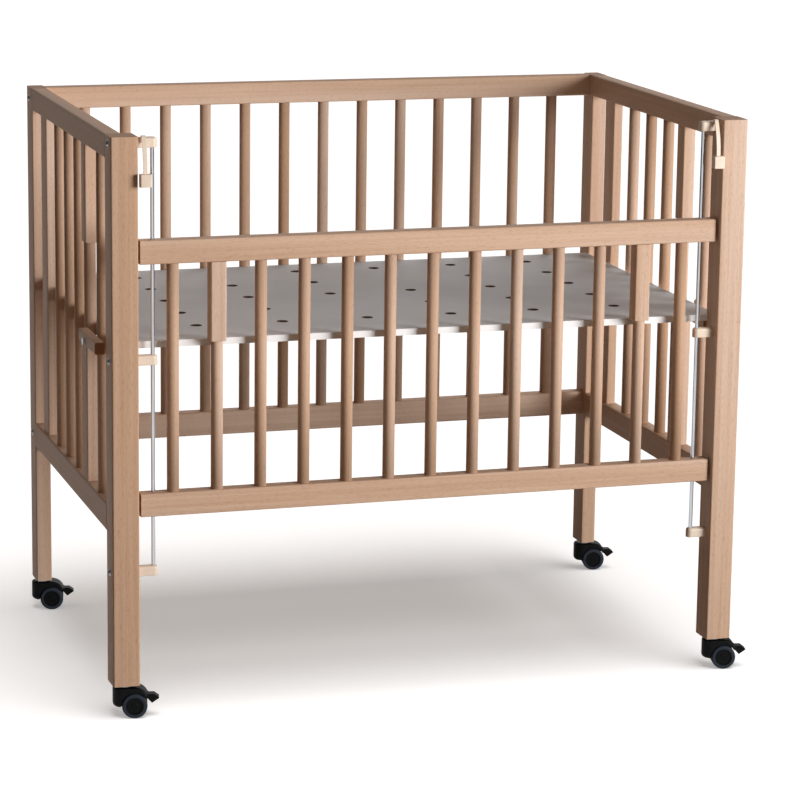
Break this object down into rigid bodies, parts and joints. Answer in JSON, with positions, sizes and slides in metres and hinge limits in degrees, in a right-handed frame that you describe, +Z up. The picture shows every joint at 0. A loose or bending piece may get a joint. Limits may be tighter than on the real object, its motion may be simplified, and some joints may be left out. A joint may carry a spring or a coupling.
{
  "type": "bedside sleeper crib",
  "caption": "Open-topped beech bedside crib with a sliding front side on steel rods, side latches, an adjustable perforated base and braked twin-wheel castors.",
  "frame": {"origin": "on the floor under the middle of the frame", "axes": "+Z up; +X along the crib's length, to the right as seen from the sliding side; the sliding side faces -Y"},
  "size_m": [1.0429, 0.6518, 0.8727],
  "materials": {
    "beech": "satin clear lacquer",
    "cream_plastic": "moulded",
    "steel_rod": "bright",
    "zinc_steel": "zinc plated",
    "white_board": "melamine faced board",
    "black_plastic": "moulded",
    "castor_rubber": "soft tread on a black hub"
  },
  "bodies": {
    "frame": {"front_post_left": "beech", "back_post_left": "beech", "end_top_rail_left": "beech", "end_bottom_rail_left": "beech", "end_slats_left": "beech", "end_block_upper_left": "beech", "end_block_lower_left": "beech", "end_board_left": "beech", "rod_arm_top_left": "cream_plastic", "rod_arm_middle_left": "cream_plastic", "rod_arm_bottom_left": "cream_plastic", "guide_rod_left": "steel_rod", "frame_bolts_left": "zinc_steel", "front_post_right": "beech", "back_post_right": "beech", "end_top_rail_right": "beech", "end_bottom_rail_right": "beech", "end_slats_right": "beech", "end_block_upper_right": "beech", "end_block_lower_right": "beech", "end_board_right": "beech", "rod_arm_top_right": "cream_plastic", "rod_arm_middle_right": "cream_plastic", "rod_arm_bottom_right": "cream_plastic", "guide_rod_right": "steel_rod", "frame_bolts_right": "zinc_steel", "back_top_rail": "beech", "back_bottom_rail": "beech", "back_slats": "beech", "castor_stem_front_left": "zinc_steel", "castor_stem_back_left": "zinc_steel", "castor_stem_front_right": "zinc_steel", "castor_stem_back_right": "zinc_steel"},
    "base": {"base_board": "white_board", "base_cleat_left": "beech", "clamp_bar_left": "beech", "base_cleat_right": "beech", "clamp_bar_right": "beech", "clamp_bolts": "zinc_steel"},
    "sliding_side": {"side_top_rail": "beech", "side_bottom_rail": "beech", "side_slats": "beech", "side_block_left": "beech", "side_block_right": "beech"},
    "latch_left": {"latch_left": "cream_plastic"},
    "latch_right": {"latch_right": "cream_plastic"},
    "castor_front_left": {"castor_hood_front_left": "black_plastic"},
    "wheels_front_left": {"castor_wheels_front_left": "castor_rubber"},
    "pedal_front_left": {"castor_pedal_front_left": "black_plastic"},
    "castor_back_left": {"castor_hood_back_left": "black_plastic"},
    "wheels_back_left": {"castor_wheels_back_left": "castor_rubber"},
    "pedal_back_left": {"castor_pedal_back_left": "black_plastic"},
    "castor_front_right": {"castor_hood_front_right": "black_plastic"},
    "wheels_front_right": {"castor_wheels_front_right": "castor_rubber"},
    "pedal_front_right": {"castor_pedal_front_right": "black_plastic"},
    "castor_back_right": {"castor_hood_back_right": "black_plastic"},
    "wheels_back_right": {"castor_wheels_back_right": "castor_rubber"},
    "pedal_back_right": {"castor_pedal_back_right": "black_plastic"}
  },
  "joints": [
    {"name": "side_slide", "type": "slide", "parent": "frame", "child": "sliding_side", "axis": [0, 0, 1], "range_m": [-0.075, 0.134]},
    {"name": "base_height", "type": "slide", "parent": "frame", "child": "base", "axis": [0, 0, 1], "range_m": [-0.15, 0.12]},
    {"name": "latch_left_hinge", "type": "hinge", "parent": "frame", "child": "latch_left", "pos_m": [-0.4445, -0.3079, 0.869], "axis": [1, 0, 0], "range_deg": [0, 13], "stiffness_Nm_per_rad": 0.05},
    {"name": "latch_right_hinge", "type": "hinge", "parent": "frame", "child": "latch_right", "pos_m": [0.4445, -0.3079, 0.869], "axis": [1, 0, 0], "range_deg": [0, 13], "stiffness_Nm_per_rad": 0.05},
    {"name": "swivel_front_left", "type": "hinge", "parent": "frame", "child": "castor_front_left", "pos_m": [-0.474, -0.298, 0.045], "axis": [0, 0, 1], "continuous": true},
    {"name": "spin_front_left", "type": "hinge", "parent": "castor_front_left", "child": "wheels_front_left", "pos_m": [-0.45835, -0.30133, 0.019], "axis": [0.2079, 0.9781, 0], "continuous": true},
    {"name": "brake_front_left", "type": "hinge", "parent": "castor_front_left", "child": "pedal_front_left", "pos_m": [-0.44016, -0.30519, 0.0326], "axis": [0.2079, 0.9781, 0], "range_deg": [0, 26]},
    {"name": "swivel_back_left", "type": "hinge", "parent": "frame", "child": "castor_back_left", "pos_m": [-0.4815, 0.298, 0.045], "axis": [0, 0, 1], "continuous": true},
    {"name": "spin_back_left", "type": "hinge", "parent": "castor_back_left", "child": "wheels_back_left", "pos_m": [-0.46585, 0.29467, 0.019], "axis": [0.2079, 0.9781, 0], "continuous": true},
    {"name": "brake_back_left", "type": "hinge", "parent": "castor_back_left", "child": "pedal_back_left", "pos_m": [-0.44766, 0.29081, 0.0326], "axis": [0.2079, 0.9781, 0], "range_deg": [0, 26]},
    {"name": "swivel_front_right", "type": "hinge", "parent": "frame", "child": "castor_front_right", "pos_m": [0.474, -0.298, 0.045], "axis": [0, 0, 1], "continuous": true},
    {"name": "spin_front_right", "type": "hinge", "parent": "castor_front_right", "child": "wheels_front_right", "pos_m": [0.48965, -0.30133, 0.019], "axis": [0.2079, 0.9781, 0], "continuous": true},
    {"name": "brake_front_right", "type": "hinge", "parent": "castor_front_right", "child": "pedal_front_right", "pos_m": [0.50784, -0.30519, 0.0326], "axis": [0.2079, 0.9781, 0], "range_deg": [0, 26]},
    {"name": "swivel_back_right", "type": "hinge", "parent": "frame", "child": "castor_back_right", "pos_m": [0.4815, 0.298, 0.045], "axis": [0, 0, 1], "continuous": true},
    {"name": "spin_back_right", "type": "hinge", "parent": "castor_back_right", "child": "wheels_back_right", "pos_m": [0.49715, 0.29467, 0.019], "axis": [0.2079, 0.9781, 0], "continuous": true},
    {"name": "brake_back_right", "type": "hinge", "parent": "castor_back_right", "child": "pedal_back_right", "pos_m": [0.51534, 0.29081, 0.0326], "axis": [0.2079, 0.9781, 0], "range_deg": [0, 26]}
  ]
}
